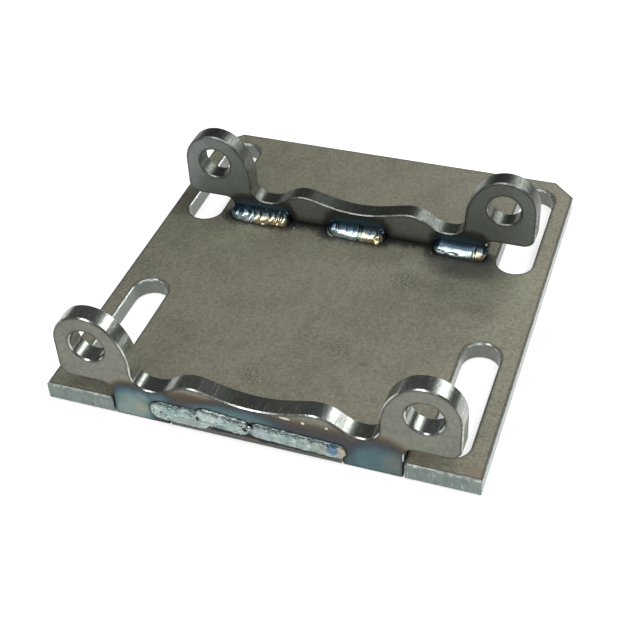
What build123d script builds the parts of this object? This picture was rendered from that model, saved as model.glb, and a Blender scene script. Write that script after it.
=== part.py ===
from build123d import *
import math
import os

# Motor mounting bracket: a slotted base plate with two identical lug rails welded across it.
# Millimetres. +X runs along the rails, +Y from the front rail to the rear rail, +Z is up.
# The origin is the middle of the plate's underside, which is the face the bracket is bolted down on.

# ---- Sheet ------------------------------------------------------------------------------------
plate_t = 6.0            # thickness of the base plate
rail_t = 6.0             # thickness of both lug rails
edge_break = 0.35        # narrow bevel left on the cut edges after deburring

# ---- Lug rails --------------------------------------------------------------------------------
rails_over = 100.0       # front face of the front rail to rear face of the rear rail
pivot_pitch = 97.8       # between the two pivot holes of a rail
pivot_rise = 18.5        # pivot axis above the top of the plate
pivot_d = 10.5           # pivot holes
lug_r = 10.4             # outer radius of a lug around its hole
lug_back_r = 17.4        # larger radius of a lug's inner flank
lug_back_from = 135.0    # degrees round from the outer side, where the larger radius takes over
lug_clear = 5.6          # open height between the plate and a lug's overhanging end
lug_heel_r = 4.0         # lower outer corner of a lug
relief_r = 3.0           # inside corner where a lug's underside meets its tab

# ---- Base plate -------------------------------------------------------------------------------
lug_inset = 5.7          # lugs stop this far short of the plate's side edges
plate_d = 140.0          # front edge to rear edge, along Y
corner_cut = 7.0         # 45 degree cut on each of the two rear corners
slot_w = 11.5            # width of the four fixing slots
slot_len = 47.0          # end to end, along Y
slot_margin = 5.7        # metal left between a slot and the nearest edges

# ---- Tabs that set each rail into the plate ----------------------------------------------------
tab_w = 17.4
tab_fit = 0.35           # play on every side of a tab
tab_web = 4.1            # metal left between a tab's opening in the plate and the slot beside it
tab_corner_r = 0.8       # rounded lower corners of the tabs

# ---- Wavy top edge between the lugs: corners of its straight runs, and their rounding ----------
neck_r = 4.8             # inside corner at the foot of a lug
floor_rise = 6.0         # flat floor beside a lug, above the plate
floor_len = 8.4          # length of that floor up to the start of the slope
slope_run = 8.0          # run of the slope from the floor to the crest
crest_rise = 11.3        # crest corner above the plate
crest_r = 10.5
foot_r = 8.0             # rounding between floor and slope
dip_rise = 6.3           # lowest corner in the middle, above the plate
dip_r = 39.0

# ---- Weld metal --------------------------------------------------------------------------------
seam_left_lap = 5.9      # how far the front seam runs over the left tab, past its inner side
seam_right_lap = 1.3     # the same at the right tab
seam_starts = (0.0, 12.0, 27.0)     # where its three runs start, from the seam's left end
seam_overlap = 4.5       # each run carries on this far under the next one
seam_halves = (3.9, 3.6, 3.4)       # half width of each run
seam_heights = (1.2, 1.4, 1.25)     # crown of each run in front of the face
seam_drops = (0.4, 0.4, 0.8)        # middle of each run below the top of the plate
bead_on_plate = 5.0      # leg of a rear fillet weld along the plate
bead_on_rail = 3.6       # its leg up the rail
bead_r = 6.0             # radius of its crown
bead_lens = (21.5, 21.0, 19.5)      # lengths of the left, middle and right fillet weld
bead_drift = (1.4, 0.4, 0.4)        # how far right of its place each hand-laid weld sits

# ---- Places worked out from the sizes above ----------------------------------------------------
plate_w = pivot_pitch + 2 * (lug_r + lug_inset)     # side edge to side edge, along X
front_y = -plate_d / 2                              # front face of plate and front rail
rear_rail_y = front_y + rails_over - rail_t         # front face of the rear rail
pivot_x = pivot_pitch / 2
pivot_z = plate_t + pivot_rise
flank_x = pivot_x - (lug_back_r - lug_r) * math.cos(math.radians(lug_back_from))
flank_z = pivot_z - (lug_back_r - lug_r) * math.sin(math.radians(lug_back_from))
slot_x = plate_w / 2 - slot_margin - slot_w / 2
slot_y = plate_d / 2 - slot_margin - slot_len / 2
tab_out = slot_x - slot_w / 2 - tab_web - tab_fit
tab_in = tab_out - tab_w
tab_middle = (tab_in + tab_out) / 2


def eased(points, radii):
    """Corner radii for a path, cut down only where two roundings would not fit on one straight."""
    spans = [math.dist(a, b) for a, b in zip(points, points[1:])]
    tangents = []
    for i, radius in enumerate(radii):
        before = math.atan2(points[i + 1][1] - points[i][1], points[i + 1][0] - points[i][0])
        after = math.atan2(points[i + 2][1] - points[i + 1][1], points[i + 2][0] - points[i + 1][0])
        turn = abs((after - before + math.pi) % (2 * math.pi) - math.pi)
        tangents.append(radius * math.tan(turn / 2))
    out = []
    for i, radius in enumerate(radii):
        here = tangents[i]
        left = tangents[i - 1] if i else 0.0
        right = tangents[i + 1] if i + 1 < len(radii) else 0.0
        room = min(spans[i] / (left + here), spans[i + 1] / (here + right))
        out.append(radius * min(1.0, 0.98 * room))
    return out


def mirrored(points):
    """The points again, followed by their mirror images about X = 0 in reverse order."""
    return points + [(-x, z) for x, z in reversed(points) if x]


def lug_arcs():
    """Outer arc of the right lug, and the larger arc that carries on down its inner flank."""
    return Curve() + [
        CenterArc((pivot_x, pivot_z), lug_r, 0, lug_back_from),
        CenterArc((flank_x, flank_z), lug_back_r, lug_back_from, 180 - lug_back_from),
    ]


def lower_edge():
    """From the side of the right lug down round its heel, along both tabs and up to the left lug."""
    points = [
        (pivot_x + lug_r, pivot_z),
        (pivot_x + lug_r, plate_t + lug_clear),
        (tab_out, plate_t + lug_clear),
        (tab_out, 0.0),
        (tab_in, 0.0),
        (tab_in, plate_t),
    ]
    radii = [lug_heel_r, relief_r, tab_corner_r, tab_corner_r, 0.0]
    return FilletPolyline(*mirrored(points), radius=radii + radii[::-1])


def upper_edge():
    """The wavy edge from the foot of the right lug's flank to the foot of the left one's."""
    neck_x = flank_x - lug_back_r
    floor_end = neck_x - floor_len
    points = mirrored([
        (neck_x, flank_z),
        (neck_x, plate_t + floor_rise),
        (floor_end, plate_t + floor_rise),
        (floor_end - slope_run, plate_t + crest_rise),
        (0.0, plate_t + dip_rise),
    ])
    radii = [neck_r, foot_r, crest_r]
    return FilletPolyline(*points, radius=eased(points, radii + [dip_r] + radii[::-1]))


def rail_outline():
    """Face of a lug rail, drawn with X along the rail and its second axis up."""
    right = lug_arcs()
    face = make_face(Curve() + [lower_edge(), upper_edge(), right, mirror(right, about=Plane.YZ)])
    return face - [Pos(x, pivot_z) * Circle(pivot_d / 2) for x in (-pivot_x, pivot_x)]


def cut_edges(solid, axis):
    """Edges round the two skins of a sheet part, square to the given axis."""
    skins = solid.faces().filter_by(axis).sort_by(axis)
    return ShapeList([edge for skin in (skins[0], skins[-1]) for edge in skin.edges()])


def lug_rail(y_front):
    """A lug rail with its front face at y_front."""
    plane = Plane(origin=(0, y_front + rail_t, 0), x_dir=(1, 0, 0), z_dir=(0, -1, 0))
    rail = extrude(plane * rail_outline(), rail_t)
    return chamfer(cut_edges(rail, Axis.Y), edge_break)


def base_plate():
    """The plate, with its four slots, two open notches at the front and two mortises at the rear."""
    outline = Rectangle(plate_w, plate_d)
    outline = chamfer(outline.vertices().group_by(Axis.Y)[-1], corner_cut)
    for x in (-slot_x, slot_x):
        for y in (-slot_y, slot_y):
            outline -= Pos(x, y) * SlotOverall(slot_len, slot_w, rotation=90)
    plate = extrude(outline, plate_t)
    plate = chamfer(cut_edges(plate, Axis.Z), edge_break)

    notch_w = tab_w + 2 * tab_fit
    hole_d = rail_t + 2 * tab_fit
    for side in (-1, 1):
        x = side * tab_middle
        for y in (front_y + rail_t / 2, rear_rail_y + rail_t / 2):
            plate -= Pos(x, y, plate_t / 2) * Box(notch_w, hole_d, plate_t)
    return plate


def bead(x_start, x_end, y, z, radius):
    """A round-ended bar along X; its two ends are spheres centred at x_start and x_end."""
    body = Pos((x_start + x_end) / 2, y, z) * Rot(0, 90, 0) * Cylinder(radius, x_end - x_start)
    return body + [Pos(x, y, z) * Sphere(radius) for x in (x_start, x_end)]


def front_seam():
    """Flush weld along the joint of front rail and plate: three runs, each started on the last one."""
    left = -tab_in - seam_left_lap
    right = tab_in + seam_right_lap
    ends = [left + start + seam_overlap for start in seam_starts[1:]] + [right]
    metal = Part()
    for start, end, half, height, drop in zip(seam_starts, ends, seam_halves, seam_heights, seam_drops):
        radius = (half ** 2 + height ** 2) / (2 * height)
        metal += bead(left + start + half, end - half, front_y - height + radius, plate_t - drop, radius)
    return split(metal, bisect_by=Plane.XZ.offset(-front_y), keep=Keep.TOP)


def rear_bead(x_middle, length):
    """Fillet weld in the corner of plate and rear rail, on the rail's front side."""
    chord = math.hypot(bead_on_plate, bead_on_rail)
    depth = math.sqrt(bead_r ** 2 - chord ** 2 / 4)
    into_rail = depth * bead_on_rail / chord - bead_on_plate / 2
    below_top = depth * bead_on_plate / chord - bead_on_rail / 2
    nose = math.sqrt(bead_r ** 2 - into_rail ** 2 - below_top ** 2)
    reach = length / 2 - nose
    metal = bead(x_middle - reach, x_middle + reach, rear_rail_y + into_rail, plate_t - below_top, bead_r)
    metal = split(metal, bisect_by=Plane.XY.offset(plate_t), keep=Keep.TOP)
    return split(metal, bisect_by=Plane.XZ.offset(-rear_rail_y), keep=Keep.TOP)


def rear_beads():
    """The three rear fillet welds by name: one at each tab and one in the middle."""
    sides = ("left", "middle", "right")
    places = (-tab_middle, 0.0, tab_middle)
    return {
        "rear_weld_" + side: rear_bead(x + drift, length)
        for side, x, drift, length in zip(sides, places, bead_drift, bead_lens)
    }


parts = {
    "base_plate": base_plate(),
    "front_lug_rail": lug_rail(front_y),
    "rear_lug_rail": lug_rail(rear_rail_y),
    "front_weld": front_seam(),
    **rear_beads(),
}
os.makedirs("parts", exist_ok=True)
for name, part in parts.items():
    export_step(part, os.path.join("parts", name + ".step"))
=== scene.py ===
"""A welded motor mounting bracket: a slotted base plate with two laser-cut lug rails standing in it.

The plate and the rails are the CAD solids in procedural steel. The weld beads, which the CAD holds
as plain forms, are rebuilt here bead by bead. The bracket's lengths are in millimetres until a mesh
is made, and those of the floor and the lights are in metres.
"""
import math

import bmesh
import bpy
import numpy as np
from mathutils import Matrix, Vector
from mathutils.noise import noise as mathutils_noise


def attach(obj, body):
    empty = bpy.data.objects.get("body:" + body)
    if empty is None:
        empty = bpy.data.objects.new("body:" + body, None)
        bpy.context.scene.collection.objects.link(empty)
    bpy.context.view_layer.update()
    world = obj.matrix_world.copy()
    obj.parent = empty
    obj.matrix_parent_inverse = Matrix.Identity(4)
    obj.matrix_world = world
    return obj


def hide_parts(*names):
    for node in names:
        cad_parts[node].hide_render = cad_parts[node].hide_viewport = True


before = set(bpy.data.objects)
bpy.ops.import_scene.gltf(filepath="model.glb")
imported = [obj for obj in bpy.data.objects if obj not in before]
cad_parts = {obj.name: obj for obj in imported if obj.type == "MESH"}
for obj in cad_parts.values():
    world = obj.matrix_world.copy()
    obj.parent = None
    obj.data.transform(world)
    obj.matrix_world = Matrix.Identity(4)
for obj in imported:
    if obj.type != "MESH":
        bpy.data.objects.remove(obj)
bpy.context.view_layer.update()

MM = 0.001

PLATE_T = 6.0            # top of the base plate
GAPS = (25.8, 43.5)      # middle of the gaps on both sides of a tab, from the middle of the bracket
FRONT_FACE = -70.0       # outer face of the front rail and of the plate's front edge
REAR_FACE = 24.0         # face of the rear rail that looks to the front
FLOOR_GLOW = 0.52        # the floor's own light, which only camera, glossy and through rays see

# The front seam's three overlapping runs on the front face, as (start, end, radii) in (x, z).
RUNS = (
    ((-28.3, 5.2), (-16.5, 4.9), (3.5, 3.3)),
    ((-14.6, 6.7), (-3.6, 5.8), (3.1, 2.9)),
    ((1.2, 5.8), (24.4, 4.8), (2.8, 2.75)),
)
# The rear fillets, as (left, right) along the foot of the rear rail.
FILLETS = ((-44.2, -22.3), (-10.2, 11.0), (26.1, 45.0))


# ---------------------------------------------------------------- node graphs written as arithmetic

class Signal:
    """A number that varies over a surface, so that a node graph reads as plain arithmetic."""

    def __init__(self, tree, socket):
        self.tree, self.socket = tree, socket

    def __add__(self, other):
        return maths(self.tree, "ADD", self, other)

    def __sub__(self, other):
        return maths(self.tree, "SUBTRACT", self, other)

    def __rsub__(self, other):
        return maths(self.tree, "SUBTRACT", other, self)

    def __mul__(self, other):
        return maths(self.tree, "MULTIPLY", self, other)

    def __truediv__(self, other):
        return maths(self.tree, "DIVIDE", self, other)

    __radd__, __rmul__ = __add__, __mul__


def maths(tree, kind, *values, clamp=False):
    node = tree.nodes.new("ShaderNodeMath")
    node.operation, node.use_clamp = kind, clamp
    for slot, value in zip(node.inputs, values):
        if isinstance(value, Signal):
            tree.links.new(value.socket, slot)
        else:
            slot.default_value = value
    return Signal(tree, node.outputs[0])


def absolute(a):
    return maths(a.tree, "ABSOLUTE", a)


def lesser(a, b):
    return maths(a.tree, "MINIMUM", a, b)


def greater(a, b):
    return maths(a.tree, "MAXIMUM", a, b)


def root(a):
    return maths(a.tree, "SQRT", a)


def step(a, low, high):
    """0 below low, 1 above high, and a smooth rise between them. Falls where low is above high."""
    node = a.tree.nodes.new("ShaderNodeMapRange")
    node.interpolation_type = "SMOOTHSTEP"
    flip = low > high
    ends = (high, low, 1.0, 0.0) if flip else (low, high, 0.0, 1.0)
    a.tree.links.new(a.socket, node.inputs["Value"])
    for name, value in zip(("From Min", "From Max", "To Min", "To Max"), ends):
        node.inputs[name].default_value = value
    return Signal(a.tree, node.outputs["Result"])


def between(a, low, high, soft):
    return step(a, low - soft, low + soft) * step(a, high + soft, high - soft)


def vector(tree, x, y, z):
    node = tree.nodes.new("ShaderNodeCombineXYZ")
    for slot, value in zip(node.inputs, (x, y, z)):
        if isinstance(value, Signal):
            tree.links.new(value.socket, slot)
        else:
            slot.default_value = value
    return node.outputs[0]


def split(tree, socket, scale=1.0):
    node = tree.nodes.new("ShaderNodeSeparateXYZ")
    tree.links.new(socket, node.inputs[0])
    parts = [Signal(tree, s) for s in node.outputs]
    return parts if scale == 1.0 else [p * scale for p in parts]


def noise(tree, place, scale=1.0, detail=2.0, rough=0.5, warp=0.0):
    """Noise about 0.5, with scale features per unit of place."""
    node = tree.nodes.new("ShaderNodeTexNoise")
    tree.links.new(place, node.inputs["Vector"])
    settings = {"Scale": scale, "Detail": detail, "Roughness": rough, "Distortion": warp}
    for name, value in settings.items():
        node.inputs[name].default_value = value
    return Signal(tree, node.outputs["Fac"])


def cells(tree, place, scale):
    """Distance from the nearest of many scattered points, with scale points per unit of place."""
    node = tree.nodes.new("ShaderNodeTexVoronoi")
    tree.links.new(place, node.inputs["Vector"])
    node.inputs["Scale"].default_value = scale
    return Signal(tree, node.outputs["Distance"])


def layer(tree, under, over, amount):
    """The colour under, with the colour over laid on it by amount."""
    node = tree.nodes.new("ShaderNodeMix")
    node.data_type = "RGBA"
    node.clamp_factor = True
    under_slot, over_slot = node.inputs[6], node.inputs[7]
    if isinstance(amount, Signal):
        tree.links.new(amount.socket, node.inputs["Factor"])
    else:
        node.inputs["Factor"].default_value = amount
    for slot, value in ((under_slot, under), (over_slot, over)):
        if isinstance(value, tuple):
            slot.default_value = (*value, 1)
        else:
            tree.links.new(value, slot)
    return node.outputs[2]


def shades(colour, factor):
    """A plain colour made lighter or darker, and never above 1."""
    return tuple(min(1, c * factor) for c in colour)


def ramp(amount, stops):
    """Colours along amount: stops are (place, (red, green, blue))."""
    node = amount.tree.nodes.new("ShaderNodeValToRGB")
    amount.tree.links.new(amount.socket, node.inputs[0])
    bar = node.color_ramp
    while len(bar.elements) < len(stops):
        bar.elements.new(0.5)
    for element, (place, colour) in zip(bar.elements, stops):
        element.position = place
        element.color = (*colour, 1)
    return node.outputs[0]


def new_material(name, metallic=1.0):
    """A material with its node tree, its shader and a node that gives places and normals."""
    material = bpy.data.materials.new(name)
    material.use_nodes = True
    tree = material.node_tree
    shader = tree.nodes["Principled BSDF"]
    shader.inputs["Metallic"].default_value = metallic
    coords = tree.nodes.new("ShaderNodeTexCoord")
    return material, tree, shader, coords


def finish_metal(tree, shader, colour, rough, height):
    """Links a metal's varying colour, roughness and surface height in millimetres."""
    tree.links.new(colour, shader.inputs["Base Color"])
    tree.links.new(rough.socket, shader.inputs["Roughness"])
    bump = tree.nodes.new("ShaderNodeBump")
    bump.inputs["Strength"].default_value = 1.0
    bump.inputs["Distance"].default_value = MM
    tree.links.new(height.socket, bump.inputs["Height"])
    tree.links.new(bump.outputs[0], shader.inputs["Normal"])


# ---------------------------------------------------------------- steels

# Steel that was heated turns straw, brown, purple, blue and then pale teal, from the coldest in.
STRAW = (0.20, 0.175, 0.125)
BROWN = (0.095, 0.076, 0.053)
PURPLE = (0.058, 0.053, 0.057)
BLUE = (0.046, 0.076, 0.097)
TEAL = (0.095, 0.185, 0.205)
PALE_TEAL = (0.25, 0.335, 0.305)

# Plain rolled faces and cut faces. The rear rail's cut colour is a darker, shaded copy of the same cut
# steel: painted shade.
PLATE_SKIN, PLATE_CUT = (0.35, 0.343, 0.262), (0.225, 0.27, 0.25)
FRONT_SKIN, FRONT_CUT = (0.235, 0.238, 0.198), (0.34, 0.365, 0.335)
REAR_SKIN, REAR_CUT_SHADED = (0.25, 0.275, 0.265), (0.12, 0.132, 0.115)
EDGE_SHADE = (0.045, 0.042, 0.034)       # thin dark line just inside the edges of rolled faces
GAP_SHADE = (0.012, 0.012, 0.012)        # bevels beside the gaps at the front tabs

# Dirt, and painted shade in creases, corners and under the front seam.
# painted shade in the crease at the front seam's toe
SEAM_TOE_SHADE = (0.022, 0.022, 0.022)
# soot and painted shade in the corner in front of the rear rail's foot
FOOT_SOOT_AND_SHADE = (0.020, 0.020, 0.017)
FILLET_SOOT = (0.05, 0.05, 0.045)
# darker towards the rear rail's foot, next to the plate
RAIL_FOOT_DARKENING = (0.03, 0.03, 0.03)
# soot and painted shade on the tongue under the front seam
TONGUE_SOOT_AND_SHADE = (0.006, 0.006, 0.005)


def temper(heat, plain):
    """The colour of rolled steel after that much heat, from 0 to 1."""
    stops = [
        (0.0, plain),
        (0.08, plain),
        (0.20, STRAW),
        (0.34, BROWN),
        (0.46, PURPLE),
        (0.58, BLUE),
        (0.72, TEAL),
        (0.86, PALE_TEAL),
        (1.0, PALE_TEAL),
    ]
    return ramp(heat, stops)


def blob(u, v, centre_u, centre_v, reach_u, reach_v):
    """1 at the centre of an ellipse, and 0 from its rim on."""
    du, dv = (u - centre_u) / reach_u, (v - centre_v) / reach_v
    return step(du * du + dv * dv, 1.0, 0.0)


def from_line(u, v, start, end, radii):
    """How far a point lies outside a capsule whose radius changes along it."""
    (u0, v0), (u1, v1), (r0, r1) = start, end, radii
    run_u, run_v = u1 - u0, v1 - v0
    length2 = run_u ** 2 + run_v ** 2
    along = (u - u0) * (run_u / length2) + (v - v0) * (run_v / length2)
    along = lesser(greater(along, 0.0), 1.0)
    du, dv = u - u0 - along * run_u, v - v0 - along * run_v
    return root(du * du + dv * dv) - (along * (r1 - r0) + r0)


def edge_line(tree, normal_socket, reach):
    """0 on open faces, and more within reach millimetres of a sharp edge."""
    soft = tree.nodes.new("ShaderNodeBevel")
    soft.samples = 6
    soft.inputs["Radius"].default_value = reach * MM
    dot = tree.nodes.new("ShaderNodeVectorMath")
    dot.operation = "DOT_PRODUCT"
    tree.links.new(soft.outputs[0], dot.inputs[0])
    tree.links.new(normal_socket, dot.inputs[1])
    return 1 - Signal(tree, dot.outputs["Value"])


def steel(name, through, skin, cut, metallic, cut_metallic, grit, cut_rough, paint, cut_paint=None):
    """Rolled steel with laser-cut edges. through is the axis that the cuts run along.

    skin and metallic belong to the rolled faces, cut and cut_metallic to the cut ones. grit is how
    strong the rolled faces' grain is, and cut_rough the cut faces' least roughness.
    paint(tree, colour, x, y, z, wander) lays heat colours, dirt and painted shade on the rolled faces,
    and cut_paint does so on the cut ones.
    """
    material, tree, shader, coords = new_material(name, metallic)
    x, y, z = split(tree, coords.outputs["Object"], 1 / MM)
    facing = absolute(split(tree, coords.outputs["Normal"])[through])
    place = vector(tree, x, y, z)
    on_skin = step(facing, 0.90, 0.97)
    on_bevel = between(facing, 0.45, 0.90, 0.06)
    # wander varies round 0 and frays the rims of whatever is painted.
    wander = noise(tree, place, 0.35, 3, 0.6) + noise(tree, place, 1.0, 3, 0.65) * 0.7 - 0.85

    # Rolled faces: soft patches, fine grain, streaks along the rolling direction and small pits.
    grain = noise(tree, place, 1.25, 3, 0.7)
    fine = noise(tree, place, 4.5, 2, 0.5)
    mottle = noise(tree, place, 0.07, 4, 0.6, 0.6)
    rolling_axis = 1 if through == 2 else 0
    rolled = [x * 0.9, y * 0.9, z * 0.9]
    rolled[rolling_axis] = rolled[rolling_axis] * 0.07
    streaks = noise(tree, vector(tree, *rolled), 1.1, 3, 0.6)
    pitted = step(noise(tree, place, 0.16, 2, 0.5), 0.50, 0.60)
    pits = step(cells(tree, place, 0.42), 0.16, 0.05) * pitted
    skin_tone = layer(tree, skin, shades(skin, 0.72), step(mottle, 0.44, 0.64) * 0.5)
    skin_tone = layer(tree, skin_tone, shades(skin, 1.35), step(grain, 0.48, 0.34) * 0.70 * grit)
    skin_tone = layer(tree, skin_tone, shades(skin, 0.50), step(grain, 0.52, 0.66) * 0.75 * grit)
    skin_tone = layer(tree, skin_tone, shades(skin, 0.75), step(streaks, 0.50, 0.72) * 0.45)
    skin_tone = layer(tree, skin_tone, shades(skin, 0.30), pits * 0.8)
    skin_tone = paint(tree, skin_tone, x, y, z, wander)
    rim = edge_line(tree, coords.outputs["Normal"], 1.3)
    skin_tone = layer(tree, skin_tone, EDGE_SHADE, step(rim, 0.003, 0.012) * 0.88)

    # Cut faces: lines straight through the sheet, with darker patches and a few painted glints.
    drawn = [x, y, z]
    drawn[through] = drawn[through] * 0.10
    lines = noise(tree, vector(tree, *drawn), 2.6, 4, 0.65)
    patches = noise(tree, place, 0.55, 3, 0.6)
    glints = noise(tree, vector(tree, *[c * 1.7 for c in drawn]), 1.0, 3, 0.8)
    cut_tone = layer(tree, cut, shades(cut, 0.60), step(lines, 0.48, 0.64) * 0.4)
    cut_tone = layer(tree, cut_tone, shades(cut, 1.35), step(lines, 0.44, 0.34) * 0.4)
    cut_tone = layer(tree, cut_tone, shades(cut, 0.65), step(patches, 0.48, 0.62) * 0.6)
    cut_tone = layer(tree, cut_tone, shades(cut, 2.1), step(glints, 0.57, 0.66) * 0.7)
    if cut_paint:
        cut_tone = cut_paint(tree, cut_tone, x, y, z, wander)

    # Bevels: painted paler than the cut they border, a painted highlight along the edges with brighter
    # worn patches, and painted shade beside the gaps at the front tabs.
    worn = step(noise(tree, place, 0.5, 2, 0.5), 0.40, 0.60)
    bevel_highlight = tuple(c * 0.8 + 0.10 for c in cut)
    worn_bevel_highlight = tuple(c * 0.9 + 0.24 for c in cut)
    bevel_tone = layer(tree, bevel_highlight, worn_bevel_highlight, worn)
    from_gap = lesser(absolute(absolute(x) - GAPS[0]), absolute(absolute(x) - GAPS[1]))
    beside_gap = step(from_gap, 0.95, 0.5) * step(y, -62.0, -64.0) * step(z, 6.6, 6.2)
    bevel_tone = layer(tree, bevel_tone, GAP_SHADE, beside_gap)

    colour = layer(tree, cut_tone, skin_tone, on_skin)
    colour = layer(tree, colour, bevel_tone, on_bevel)
    off_skin = 1 - on_skin
    skin_rough = grain * 0.30 + 0.34
    rough = skin_rough * on_skin + (lines * 0.22 + patches * 0.10 + cut_rough) * off_skin
    skin_height = grain * 0.012 + fine * 0.006 - pits * 0.03
    height = skin_height * on_skin + lines * 0.016 * off_skin
    finish_metal(tree, shader, colour, rough, height)
    if cut_metallic != metallic:
        metal = on_skin * (metallic - cut_metallic) + cut_metallic
        tree.links.new(metal.socket, shader.inputs["Metallic"])
    return material


def front_heat(x, z, wander):
    """Heat of the front rail: along the seam, over both tabs and in the left valley."""
    u, v = x + wander * 3.0, z + wander * 2.4
    seam = step(from_line(u, v, (-28.0, 6.0), (25.0, 5.5), (3.4, 3.4)), 8.5, 0.0) * 0.50
    seam = seam + blob(u, v, -6.0, 9.5, 17.0, 7.0) * 0.24
    left_tab = blob(u, v, -37.5, 3.0, 11.5, 14.0) * 0.86
    right_tab = blob(u, v, 36.0, 2.0, 17.0, 16.0) * 0.70
    valley = blob(u, v, -30.0, 10.5, 6.5, 4.5) * 0.20
    return greater(greater(seam, left_tab), right_tab) + valley + wander * 0.14


def paint_front_rail(tree, colour, x, y, z, wander):
    """Heat colours, patches of straw, rust and ash, painted shade along the seam's toe, and bright
    scuffs.
    """
    heat = front_heat(x, z, wander) * (step(y, -64.5, -67.0) * 0.35 + 0.65)
    hot = temper(heat, FRONT_SKIN)
    colour = layer(tree, colour, hot, step(heat, 0.08, 0.24) * 0.92)
    straw = blob(x + wander * 4, z + wander * 4, -34.3, 5.0, 3.2, 2.6)
    colour = layer(tree, colour, (0.34, 0.335, 0.235), straw * 0.65)
    rust = blob(x + wander * 7, z + wander * 4, -19.0, 12.5, 8.0, 2.4)
    colour = layer(tree, colour, (0.105, 0.064, 0.042), rust * 0.6)
    ash = blob(x + wander * 4, z + wander * 4, 41.0, 4.5, 4.5, 6.0)
    colour = layer(tree, colour, (0.17, 0.19, 0.165), ash * 0.7)
    toe = None
    for start, end, radii in RUNS:
        gap = from_line(x, z, start, end, radii)
        toe = gap if toe is None else lesser(toe, gap)
    # painted shade in the crease along the seam's toe
    colour = layer(tree, colour, SEAM_TOE_SHADE, step(toe + wander * 0.5, 0.65, 0.15) * 0.9)
    on_front = step(y, -69.0, -69.5)
    lean = 0.06
    scuffs = (
        (9.6, 13.15, 1.9, 0.42),
        (14.9, 12.8, 0.62, 0.5),
        (21.7, 12.8, 0.5, 0.45),
    )
    for centre_x, centre_z, long, tall in scuffs:
        scuff = blob(x, z + x * lean, centre_x, centre_z + centre_x * lean, long, tall)
        colour = layer(tree, colour, (0.80, 0.74, 0.68), step(scuff, 0.05, 0.4) * on_front)
    return colour


def paint_front_cuts(tree, colour, x, y, z, wander):
    """Faint heat colours on the front rail's cut edges."""
    heat = front_heat(x, z, wander)
    return layer(tree, colour, temper(heat, (0.36, 0.37, 0.34)), step(heat, 0.1, 0.5) * 0.35)


def rear_heat(x, z, wander):
    """Heat of the rear rail, above each fillet."""
    u, v = x + wander * 3.0, z + wander * 2.4
    heat = None
    for left, right in FILLETS:
        near = step(from_line(u, v, (left + 5, 8.0), (right - 5, 8.0), (1.8, 1.8)), 7.0, 0.0) * 0.72
        heat = near if heat is None else greater(heat, near)
    return heat + wander * 0.10


def paint_rear_rail(tree, colour, x, y, z, wander):
    """Heat colours above the fillets, and darker towards the rail's foot, on its front side."""
    heat = rear_heat(x, z, wander)
    dark = temper(heat, (0.24, 0.26, 0.25))
    dark = layer(tree, dark, (0.05, 0.055, 0.06), 0.35)
    colour = layer(tree, colour, dark, step(heat, 0.08, 0.22) * step(y, 29.0, 25.0) * 0.92)
    # darker towards the foot of the rail, next to the plate
    foot = step(z + wander * 2, 9.5, 6.5) * step(y, 28.0, 25.0)
    return layer(tree, colour, RAIL_FOOT_DARKENING, foot * 0.55)


def paint_plate(tree, colour, x, y, z, wander):
    """Soot round the rear fillets, soot and painted shade at the rear rail's foot, the left ear's
    painted shadow, and stains and heat at the front.
    """
    u, v = x + wander * 4.0, y + wander * 4.0
    top = step(z, 3.0, 4.0)
    soot = None
    for left, right in FILLETS:
        near = step(from_line(u, v, (left + 2, 21.5), (right - 2, 21.5), (2.0, 2.0)), 3.2, 0.4)
        soot = near if soot is None else greater(soot, near)
    colour = layer(tree, colour, FILLET_SOOT, soot * top * 0.8)
    # soot and painted shade in the corner in front of the rear rail's foot
    foot = step(v, 18.5, 23.5) * step(y, 26.0, 24.0) * step(absolute(x), 52.0, 42.0)
    colour = layer(tree, colour, FOOT_SOOT_AND_SHADE, foot * top * 0.95)
    smudge = blob(u, v, 38.0, 17.0, 16.0, 9.5)
    colour = layer(tree, colour, (0.075, 0.075, 0.070), smudge * top * 0.75)
    warm = blob(u, v, 47.5, -66.5, 6.0, 4.5)
    colour = layer(tree, colour, (0.20, 0.135, 0.085), warm * top * 0.35)
    # painted shadow of the rear left ear on the plate
    left_ear_shadow = blob(u, v, -61.0, 27.0, 9.0, 13.0)
    colour = layer(tree, colour, (0.09, 0.088, 0.066), left_ear_shadow * top * 0.7)
    specks = step(noise(tree, vector(tree, x, y, z), 1.5, 2, 0.6), 0.52, 0.62)
    stains = (
        (12.0, -32.0, 4.0),
        (47.0, -3.0, 3.0),
        (-8.0, -50.0, 5.0),
        (22.0, 4.0, 6.0),
    )
    for centre_x, centre_y, reach in stains:
        stain = blob(x, y, centre_x, centre_y, reach * 1.4, reach)
        colour = layer(tree, colour, (0.07, 0.068, 0.055), stain * specks * top * 0.8)
    blush = blob(u, v, 62.0, -68.0, 4.0, 4.0)
    return layer(tree, colour, (0.33, 0.24, 0.18), blush * top * 0.6)


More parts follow.
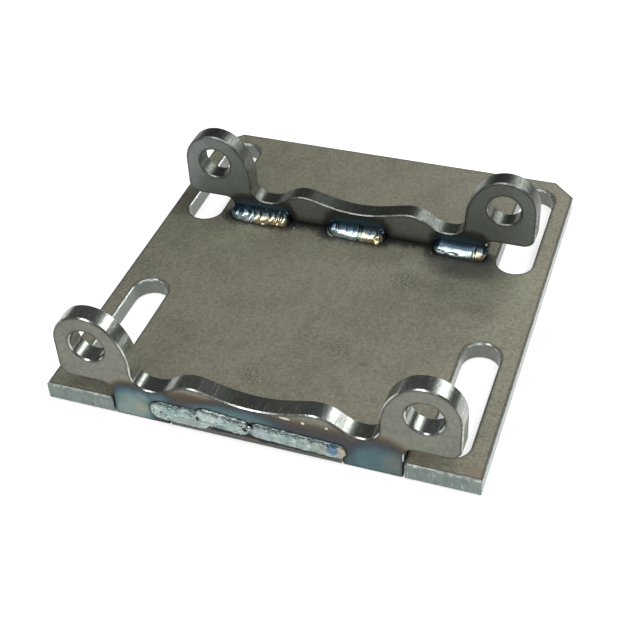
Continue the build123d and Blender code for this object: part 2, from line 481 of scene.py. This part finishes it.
def paint_plate_cuts(tree, colour, x, y, z, wander):
    """Soot and painted shade on the tongue under the front seam, painted shade in the slots, and
    painted glints along the burred top edge.
    """
    tongue = step(absolute(x), 27.0, 25.5) * step(y, -68.5, -69.5)
    # soot and painted shade on the tongue under the front seam, and a darker strip along it
    colour = layer(tree, colour, (0.10, 0.098, 0.083), tongue * 0.85)
    drift = 2.7 + wander * 2.0 - x * 0.02
    strip = step(absolute(z - drift), 1.2, 0.5) * step(absolute(x - 3.0), 24.0, 17.0)
    colour = layer(tree, colour, TONGUE_SOOT_AND_SHADE, strip * tongue * 0.95)
    # painted shade on the walls inside the slots
    slot_wall_shade = between(absolute(x), 46.0, 61.0, 0.5) * step(absolute(y), 66.5, 65.5)
    colour = layer(tree, colour, (0.15, 0.155, 0.13), slot_wall_shade * 0.75)
    # painted glints along the burred top edge of the cut faces
    burr_noise = noise(tree, vector(tree, x, y, z * 0.4), 0.75, 3, 0.7)
    burr_glints = step(burr_noise, 0.50, 0.58) * step(z, 5.0, 5.5)
    return layer(tree, colour, (0.80, 0.82, 0.80), burr_glints * (1 - tongue) * 0.8)


def dress(node, material):
    """Puts the material in the slots of a CAD node."""
    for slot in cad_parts[node].material_slots:
        slot.material = material


ALONG_Y, ALONG_Z = 1, 2
dress("base_plate", steel(
    "plate_steel_finish", ALONG_Z, PLATE_SKIN, PLATE_CUT, metallic=0.6, cut_metallic=0.6,
    grit=1.0, cut_rough=0.06, paint=paint_plate, cut_paint=paint_plate_cuts))
dress("front_lug_rail", steel(
    "front_rail_finish", ALONG_Y, FRONT_SKIN, FRONT_CUT, metallic=0.8, cut_metallic=1.0,
    grit=0.45, cut_rough=0.05, paint=paint_front_rail, cut_paint=paint_front_cuts))
dress("rear_lug_rail", steel(
    "rear_rail_finish", ALONG_Y, REAR_SKIN, REAR_CUT_SHADED, metallic=0.8, cut_metallic=1.0,
    grit=0.45, cut_rough=0.22, paint=paint_rear_rail))


# ---------------------------------------------------------------- weld beads

def lumps(x, y, z, size):
    """Smooth noise from -1 to 1 over arrays of points, with lumps about size millimetres across."""
    places = zip(np.ravel(x), np.ravel(y), np.ravel(z))
    flat = [mathutils_noise(Vector((a / size, b / size, c / size))) for a, b, c in places]
    return np.array(flat).reshape(np.shape(x))


def capsule(u, v, start, end, radii):
    """from_line over arrays: distance outside the capsule, the place along it, and its radius there."""
    run = np.subtract(end, start)
    along = np.clip(((u - start[0]) * run[0] + (v - start[1]) * run[1]) / (run @ run), 0, 1)
    radius = radii[0] + along * (radii[1] - radii[0])
    off = np.hypot(u - start[0] - along * run[0], v - start[1] - along * run[1])
    return off - radius, along, radius


def smooth(t):
    """A smooth rise from 0 to 1 as t does."""
    t = np.clip(t, 0, 1)
    return t * t * (3 - 2 * t)


def dimple(u, v, centre_u, centre_v, radius):
    """1 at a point, falling to 0 at that radius from it."""
    return smooth(1 - np.hypot(u - centre_u, v - centre_v) / radius)


def add_piece(name, points, faces, finish):
    """A mesh of weld metal in metres from points in millimetres. It rides with the bracket."""
    mesh = bpy.data.meshes.new(name)
    corners = [tuple(p) for p in np.asarray(points) * MM]
    mesh.from_pydata(corners, [], [tuple(int(i) for i in f) for f in faces])
    same_place = 0.002 * MM
    clean = bmesh.new()
    clean.from_mesh(mesh)
    bmesh.ops.remove_doubles(clean, verts=clean.verts, dist=same_place)
    bmesh.ops.recalc_face_normals(clean, faces=clean.faces)
    clean.to_mesh(mesh)
    clean.free()
    for polygon in mesh.polygons:
        polygon.use_smooth = True
    mesh.materials.append(finish)
    piece = bpy.data.objects.new(name, mesh)
    bpy.context.scene.collection.objects.link(piece)
    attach(piece, "root")
    return piece


def seam_height(x, z):
    """How far the front seam stands off the face: three overlapping runs, laid from left to right."""
    rag = lumps(x, z * 0, z, 1.6) * 0.30 + lumps(x + 40, z * 0, z, 0.6) * 0.12
    total = np.full(x.shape, -0.9)
    tallest = (1.02, 1.22, 1.05)        # crown of each run
    pitch = (1.75, 1.55, 1.35)          # between its ripples
    depth = (0.030, 0.045, 0.060)       # and how deep they are
    for (start, end, radii), high, step_x, deep in zip(RUNS, tallest, pitch, depth):
        off, along, radius = capsule(x, z, start, end, radii)
        off = off + rag * (0.35 + 0.65 * smooth((x - start[0]) / 4))
        inside = np.clip(-off / radius, 0, 1)
        crown = high * (1 - (1 - inside) ** 2.0) ** 0.62
        middle = start[1] + along * (end[1] - start[1])
        bow = 1 - ((z - middle) / radius) ** 2
        phase = (x + 0.35 * np.sin(0.9 * x + start[0]) - 1.9 * bow) / step_x
        ripple = np.abs(np.sin(np.pi * phase)) ** 0.7 - 0.6
        edge = 0.7 + 1.3 * smooth((z - middle) / radius)
        crown = crown + ripple * deep * edge * smooth(inside * 3)
        crown = crown + lumps(x, z * 0 + start[0], z, 2.6) * 0.10 * smooth(inside * 2)
        here = np.where(off > 0, -off * 1.6, crown)
        total = np.maximum(total, here)
    # Craters where the runs start and stop.
    total -= 0.42 * dimple(x, z, -27.9, 5.5, 0.75) - 0.14 * dimple(x, z, -27.9, 5.5, 1.7)
    total -= 0.65 * dimple(x, z, -16.6, 6.3, 1.1) - 0.18 * dimple(x, z, -16.4, 6.4, 2.3)
    total -= 0.70 * dimple(x, z, -2.1, 6.0, 1.1) + 0.55 * dimple(x, z, -0.6, 7.4, 1.2)
    total -= 0.50 * dimple(x, z, 25.2, 5.4, 1.5) * (total > 0)
    nubs = smooth(1 - np.hypot((x + 13.6) / 2.6, (z - 3.9) / 1.1))
    total += np.maximum(lumps(x, z * 0 + 9, z, 0.55), 0) * nubs * 0.8
    highest = 1.36                      # keeps the seam inside the CAD box
    return np.minimum(total, highest)


def build_front_seam(finish):
    """The front seam as a closed shell: its height over a grid, and a flat back inside the metal."""
    grid = 0.15
    xs = np.arange(-32.6, 27.95, grid)
    zs = np.arange(0.75, 10.8, grid)
    x, z = np.meshgrid(xs, zs, indexing="ij")
    high = seam_height(x, z)
    sunk = 0.34                         # its rim dips this far below the face
    back_y = FRONT_FACE + sunk + 0.12
    keep = high > -sunk
    cell = keep[:-1, :-1] & keep[1:, :-1] & keep[1:, 1:] & keep[:-1, 1:]
    used = np.zeros_like(keep)
    for i, j in ((0, 0), (1, 0), (1, 1), (0, 1)):
        used[i:i + cell.shape[0], j:j + cell.shape[1]] |= cell
    index = np.full(keep.shape, -1)
    index[used] = np.arange(used.sum())
    count = int(used.sum())
    front = np.stack([x[used], FRONT_FACE - high[used], z[used]], 1)
    back = np.stack([x[used], np.full(count, back_y), z[used]], 1)
    faces = []
    for i, j in zip(*np.nonzero(cell)):
        a, b, c, d = index[i, j], index[i + 1, j], index[i + 1, j + 1], index[i, j + 1]
        faces += [(a, b, c, d), (d + count, c + count, b + count, a + count)]
        sides = ((a, b, i, j - 1), (b, c, i + 1, j), (c, d, i, j + 1), (d, a, i - 1, j))
        for p, q, next_i, next_j in sides:
            on_grid = 0 <= next_i < cell.shape[0] and 0 <= next_j < cell.shape[1]
            if not (on_grid and cell[next_i, next_j]):
                faces.append((q, p, p + count, q + count))
    piece = add_piece("front_seam_bead", np.concatenate([front, back]), faces, finish)
    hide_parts("front_weld")


def build_fillet(name, node, left, right, finish, pitch, deep, ragged, features):
    """A fillet bead in the corner of the plate and the rear rail, with crescent ripples.

    pitch and deep belong to the ripples, and ragged is how uneven the skin is.
    features(x, turn, out) changes how far the skin stands out, for craters, bands and eyelets.
    Here turn runs from 0 at the plate to 1 at the rail.
    """
    along = np.arange(left + 0.03, right, 0.10)
    turn = np.linspace(-0.10, 1.10, 54)
    x, t = np.meshgrid(along, turn, indexing="ij")
    rag = lumps(x, t * 4, t * 0 + left, 2.2) * ragged
    left_nose, right_nose = 3.2, 2.4
    from_left = np.clip((x - left) / left_nose, 0, 1)
    from_right = np.clip((right - x) / right_nose, 0, 1)
    ends = np.minimum(from_left, from_right)
    swell = np.sqrt(np.clip(1 - (1 - ends) ** 2, 0, 1))
    angle = np.clip(t, 0, 1) * np.pi / 2
    bow = np.sin(np.clip(t, 0, 1) * np.pi)
    place = x - 2.6 * bow + 0.45 * np.sin(0.9 * x) + 0.2 * np.sin(2.3 * x) + rag
    ripple = np.abs(np.sin(np.pi * place / pitch)) ** 0.38 - 0.75
    scallop = ripple * deep * 1.2
    leg_plate = (4.7 + scallop + rag + 0.25 * np.sin(0.35 * x + 1)) * swell
    leg_rail = (3.7 + scallop * 0.6 + rag * 0.7) * swell
    out = 1 + (ripple * deep + rag * 0.25) / 4.2 * smooth(ends * 4)
    out = features(x, t, out)
    roundness, tuck, sunk = 1.12, 3.0, 0.3
    y = REAR_FACE - leg_plate * np.cos(angle) ** roundness * out
    z = PLATE_T + leg_rail * np.sin(angle) ** roundness * out
    y = y + np.clip(t - 1, 0, 1) * tuck
    z = z + np.clip(t, -1, 0) * tuck
    shell = np.stack([x, y, z], -1)
    spine_y = np.full(along.shape, REAR_FACE + sunk)
    spine_z = np.full(along.shape, PLATE_T - sunk)
    spine = np.stack([along, spine_y, spine_z], -1)
    ring = np.concatenate([shell, spine[:, None]], 1)
    n_along, n_ring = ring.shape[:2]
    faces = []
    for i in range(n_along - 1):
        for j in range(n_ring):
            k = (j + 1) % n_ring
            here, ahead = i * n_ring, (i + 1) * n_ring
            faces.append((here + j, ahead + j, ahead + k, here + k))
    faces.append(tuple(range(n_ring)))
    faces.append(tuple(range((n_along - 1) * n_ring, n_along * n_ring))[::-1])
    piece = add_piece(name, ring.reshape(-1, 3), faces, finish)
    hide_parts(node)


def droplet_mesh(centre, radius, squash, seed, rings=10, sides=18):
    """A frozen drop of spatter: a slightly lumpy ball, pressed against what it landed on."""
    points, faces = [], []
    for i in range(rings + 1):
        polar = math.pi * i / rings
        for j in range(sides):
            turn = 2 * math.pi * j / sides
            flat = math.sin(polar)
            unit = Vector((flat * math.cos(turn), flat * math.sin(turn), math.cos(polar)))
            swell = 1 + 0.10 * mathutils_noise(unit * 1.4 + Vector((seed, 0, 0)))
            points.append([c + radius * swell * u * q for c, u, q in zip(centre, unit, squash)])
    for i in range(rings):
        for j in range(sides):
            k = (j + 1) % sides
            here, ahead = i * sides, (i + 1) * sides
            faces.append((here + j, here + k, ahead + k, ahead + j))
    return points, faces


def build_spatter(finish):
    """Drops of weld metal: four on the front seam, one at the rear right tab, and a few specks."""
    # Each is (centre, radius, squash).
    drops = (
        ((-3.2, -70.60, 6.9), 0.74, (1.1, 0.9, 0.9)),
        ((-1.15, -70.52, 6.7), 0.84, (1.1, 0.95, 1.0)),
        ((-16.1, -70.55, 5.75), 0.42, (1, 0.9, 1)),
        ((43.75, 24.25, 9.85), 0.55, (1, 1, 1)),
        ((-17.6, -70.55, 5.2), 0.30, (1, 0.8, 1)),
        ((26.9, 20.2, 6.1), 0.32, (1, 1, 0.7)),
        ((9.2, 17.9, 6.05), 0.28, (1, 1, 0.6)),
        ((12.6, 20.4, 6.05), 0.34, (1, 1, 0.6)),
        ((-20.6, 20.6, 6.05), 0.26, (1, 1, 0.7)),
        ((-46.3, 21.7, 6.05), 0.24, (1, 1, 0.7)),
        ((31.4, 17.2, 6.02), 0.20, (1, 1, 0.6)),
        ((-34.0, 23.95, 10.9), 0.22, (1, 0.7, 1)),
    )
    points, faces = [], []
    for number, (centre, radius, squash) in enumerate(drops):
        more, ring = droplet_mesh(centre, radius, squash, number * 3.7)
        faces += [tuple(i + len(points) for i in face) for face in ring]
        points += more
    add_piece("weld_spatter", points, faces, finish)


def seam_metal():
    """Pale weld metal, teal over most of the seam, and blue and cream at its last nose."""
    material, tree, shader, coords = new_material("front_seam_finish")
    x, y, z = split(tree, coords.outputs["Object"], 1 / MM)
    place = vector(tree, x, y, z)
    cloud = noise(tree, place, 0.30, 4, 0.6, 1.2)
    flow = noise(tree, vector(tree, x * 0.35, y, z + x * 0.12), 1.1, 4, 0.6, 1.5)
    fine = noise(tree, place, 3.0, 3, 0.6)
    wander = noise(tree, place, 0.6, 2, 0.5) - 0.5
    colour = layer(tree, (0.30, 0.385, 0.365), (0.14, 0.225, 0.22), step(cloud, 0.45, 0.58) * 0.85)
    colour = layer(tree, colour, (0.62, 0.70, 0.67), step(flow, 0.50, 0.64) * 0.85)
    colour = layer(tree, colour, (0.09, 0.125, 0.12), step(flow, 0.44, 0.32) * 0.65)
    tinted = (
        ((-18.6, 4.2), (3.2, 1.8), (0.27, 0.27, 0.29), 0.6),
        ((1.6, 6.6), (3.0, 2.2), (0.33, 0.35, 0.40), 0.5),
        ((-12.5, 8.0), (5.0, 2.0), (0.52, 0.60, 0.57), 0.6),
        ((20.0, 5.2), (3.0, 2.0), (0.33, 0.33, 0.24), 0.5),
        ((23.4, 6.2), (2.0, 3.2), (0.10, 0.19, 0.30), 0.85),
        ((26.2, 4.8), (1.5, 3.4), (0.46, 0.40, 0.32), 0.85),
    )
    for centre, reach, tint, amount in tinted:
        spot = blob(x + wander * 2.5, z + wander * 2.5, *centre, *reach)
        colour = layer(tree, colour, tint, step(spot, 0.0, 0.5) * amount)
    # painted shade: the seam's rim darkens where it sinks to the face, at its toe
    low = step(FRONT_FACE - y, 0.40, 0.02)
    colour = layer(tree, colour, (0.035, 0.040, 0.040), low * 0.85)
    craters = (
        ((-27.9, 5.5), 0.42),
        ((-16.6, 6.2), 0.75),
        ((-2.2, 6.2), 1.0),
        ((-0.5, 7.5), 0.8),
    )
    for centre, reach in craters:
        pit = blob(x, z, *centre, reach, reach)
        colour = layer(tree, colour, (0.05, 0.045, 0.04), step(pit, 0.1, 0.6) * 0.8)
    rough = cloud * 0.25 + fine * 0.2 + 0.12
    finish_metal(tree, shader, colour, rough, fine * 0.02 + flow * 0.03)
    return material


def fillet_metal():
    """Bright weld metal: blue-white, then straw, and dark above and at both ends, with a painted dark
    reflection at the toe.
    """
    material, tree, shader, coords = new_material("rear_fillet_finish")
    x, y, z = split(tree, coords.outputs["Object"], 1 / MM)
    place = vector(tree, x, y, z)
    fine = noise(tree, place, 3.4, 3, 0.6)
    cloud = noise(tree, place, 0.7, 4, 0.65, 0.8)
    wander = noise(tree, place, 0.45, 2, 0.5) - 0.5
    colour = layer(tree, (0.55, 0.80, 0.86), (0.88, 0.97, 0.98), step(cloud, 0.42, 0.54))
    warm_starts = (-34.5, 2.2, 40.6)
    for (left, right), warm_from in zip(FILLETS, warm_starts):
        warm = step(x + wander * 3, warm_from - 0.8, warm_from + 0.8)
        warm = warm * step(x, right + 2.5, right + 1.5)
        colour = layer(tree, colour, (0.96, 0.85, 0.58), warm * 0.92)
        gold = step(noise(tree, place, 0.75, 3, 0.6), 0.54, 0.64) * warm
        colour = layer(tree, colour, (0.42, 0.27, 0.10), gold * 0.7)
        start = step(x + wander * 3, left + 4.6, left + 1.4) * step(x, left - 2.0, left - 1.0)
        colour = layer(tree, colour, (0.045, 0.085, 0.090), start * 0.85)
        end = step(x + wander * 2, right - 1.9, right - 0.5) * step(x, right + 2.0, right + 1.0)
        colour = layer(tree, colour, (0.07, 0.055, 0.040), end * 0.8)
    rise = (z - PLATE_T) - (REAR_FACE - y) * 0.55
    upper = step(rise + wander * 1.2, 0.35, 1.35)
    colour = layer(tree, colour, (0.022, 0.062, 0.10), upper * 0.93)
    # painted reflection: the bead's lower part near the plate is darkened
    toe = step(z + wander * 0.6 - step(x, 24.0, 26.0) * 0.75, 6.9, 6.25)
    colour = layer(tree, colour, (0.040, 0.040, 0.032), toe * 0.8)
    rough = fine * 0.10 + cloud * 0.14 + 0.14
    finish_metal(tree, shader, colour, rough, fine * 0.006)
    return material


def spatter_metal():
    """Shiny drops with dark scale."""
    material, tree, shader, coords = new_material("spatter_finish")
    x, y, z = split(tree, coords.outputs["Object"], 1 / MM)
    place = vector(tree, x, y, z)
    skin = noise(tree, place, 2.0, 3, 0.6)
    colour = layer(tree, (0.50, 0.50, 0.48), (0.10, 0.09, 0.08), step(skin, 0.50, 0.60) * 0.8)
    finish_metal(tree, shader, colour, skin * 0.2 + 0.05, skin * 0.02)
    return material


def left_features(x, t, out):
    """The left fillet: a tucked start, and a lumpy double cap at its end."""
    lump = 0.10 * smooth(1 - np.hypot((x + 24.6) / 1.6, (t - 0.30) / 0.35))
    notch = 0.08 * smooth(1 - np.hypot((x + 26.1) / 0.7, (t - 0.5) / 0.9))
    hollow = 0.10 * smooth(1 - np.hypot((x + 41.6) / 1.3, (t - 0.75) / 0.3))
    return out + lump - notch - hollow


def middle_features(x, t, out):
    """The middle fillet: a round start with a ring, a deep band at the restart, and two eyelets."""
    ring = np.hypot((x + 7.2) / 1.7, (t - 0.55) / 0.42)
    out = out + 0.07 * smooth(1 - ring) - 0.11 * smooth(1 - np.abs(ring - 1.0) / 0.35)
    out = out - 0.15 * smooth(1 - np.abs(x - 1.9 - 0.5 * np.sin(np.pi * t)) / 0.8)
    for centre_x, centre_t in ((9.4, 0.72), (8.4, 0.25)):
        eye = np.hypot((x - centre_x) / 1.0, (t - centre_t) / 0.20)
        out = out + 0.10 * smooth(1 - np.abs(eye - 0.9) / 0.6) - 0.10 * smooth(1 - eye / 0.8)
    return out


def right_features(x, t, out):
    """The right fillet: smooth, with two shelves along its lower side and a broken end."""
    for centre_x in (29.6, 34.2):
        out = out - 0.09 * smooth(1 - np.hypot((x - centre_x) / 2.2, (t - 0.30) / 0.10))
    return out - 0.10 * smooth(1 - np.hypot((x - 40.6) / 0.8, (t - 0.4) / 0.6))


bright = fillet_metal()
build_front_seam(seam_metal())
build_fillet("rear_fillet_left", "rear_weld_left", *FILLETS[0], bright,
             pitch=2.5, deep=0.24, ragged=0.12, features=left_features)
build_fillet("rear_fillet_middle", "rear_weld_middle", *FILLETS[1], bright,
             pitch=2.6, deep=0.035, ragged=0.06, features=middle_features)
build_fillet("rear_fillet_right", "rear_weld_right", *FILLETS[2], bright,
             pitch=3.4, deep=0.015, ragged=0.04, features=right_features)
build_spatter(spatter_metal())


# ---------------------------------------------------------------- floor, light and camera

def add_floor():
    """A wide pale floor under the plate, which keeps the bracket's shadow."""
    half = 6.0
    drop = 0.2 * MM
    mesh = bpy.data.meshes.new("floor")
    corners = [(-half, -half, 0), (half, -half, 0), (half, half, 0), (-half, half, 0)]
    mesh.from_pydata(corners, [], [(0, 1, 2, 3)])
    floor = bpy.data.objects.new("floor", mesh)
    floor.location.z = -drop
    bpy.context.scene.collection.objects.link(floor)
    material = bpy.data.materials.new("floor_paper")
    material.use_nodes = True
    tree = material.node_tree
    tree.nodes.clear()
    out = tree.nodes.new("ShaderNodeOutputMaterial")
    paper = tree.nodes.new("ShaderNodeBsdfDiffuse")
    paper.inputs["Color"].default_value = (0.86, 0.86, 0.86, 1)
    glow = tree.nodes.new("ShaderNodeEmission")
    glow.inputs["Color"].default_value = (1, 1, 1, 1)
    rays = tree.nodes.new("ShaderNodeLightPath")
    camera_ray, glossy_ray, through_ray = (
        Signal(tree, rays.outputs[kind])
        for kind in ("Is Camera Ray", "Is Glossy Ray", "Is Transmission Ray"))
    seen = maths(tree, "ADD", camera_ray + glossy_ray, through_ray, clamp=True)
    tree.links.new((seen * FLOOR_GLOW).socket, glow.inputs["Strength"])
    both = tree.nodes.new("ShaderNodeAddShader")
    tree.links.new(paper.outputs[0], both.inputs[0])
    tree.links.new(glow.outputs[0], both.inputs[1])
    tree.links.new(both.outputs[0], out.inputs["Surface"])
    mesh.materials.append(material)


def direction(azimuth, elevation):
    """Unit vector: azimuth 0 is behind the bracket (+Y), 90 is its right side (+X)."""
    a, e = math.radians(azimuth), math.radians(elevation)
    return Vector((math.sin(a) * math.cos(e), math.cos(a) * math.cos(e), math.sin(e)))


def add_softbox(name, azimuth, elevation, distance, width, height, radiance):
    """A rectangular softbox of that radiance, which looks at the bracket."""
    data = bpy.data.lights.new(name, "AREA")
    data.shape, data.size, data.size_y = "RECTANGLE", width, height
    data.energy = radiance * math.pi * width * height
    light = bpy.data.objects.new(name, data)
    towards = direction(azimuth, elevation)
    light.location = towards * distance
    light.rotation_euler = towards.to_track_quat("Z", "Y").to_euler()
    light.visible_camera = False
    bpy.context.scene.collection.objects.link(light)


def add_world(strength):
    """An even white surrounding of that strength."""
    world = bpy.data.worlds.new("studio")
    world.use_nodes = True
    back = world.node_tree.nodes["Background"]
    back.inputs["Color"].default_value = (1, 1, 1, 1)
    back.inputs["Strength"].default_value = strength
    bpy.context.scene.world = world


def add_camera():
    """The viewing angle: from the front right and above, with a slight lean."""
    yaw, pitch, lean = (math.radians(a) for a in (21.43, 40.74, -3.32))
    target, distance = Vector((-4.16, -11.05, 0)) * MM, 391.4 * MM
    back = Vector((math.sin(yaw) * math.cos(pitch), -math.cos(yaw) * math.cos(pitch), math.sin(pitch)))
    right = (-back).cross(Vector((0, 0, 1))).normalized()
    up = back.cross(right)
    across = right * math.cos(lean) + up * math.sin(lean)
    upward = up * math.cos(lean) - right * math.sin(lean)
    data = bpy.data.cameras.new("camera")
    data.lens, data.sensor_width = 71.9, 36.0
    data.clip_start = 10 * MM
    camera = bpy.data.objects.new("camera", data)
    turn = Matrix((across, upward, back)).transposed()
    camera.matrix_world = Matrix.Translation(target + back * distance) @ turn.to_4x4()
    bpy.context.scene.collection.objects.link(camera)
    bpy.context.scene.camera = camera


add_floor()
add_world(0.14)
add_softbox("top_softbox", 130, 72, distance=1.2, width=1.2, height=1.2, radiance=2.0)
add_softbox("front_softbox", -157, 45, distance=1.3, width=0.40, height=0.40, radiance=5.0)
add_softbox("rear_right_window", 29, 33, distance=0.80, width=0.42, height=0.38, radiance=4.4)
add_camera()
bpy.context.scene.view_settings.view_transform = "Standard"
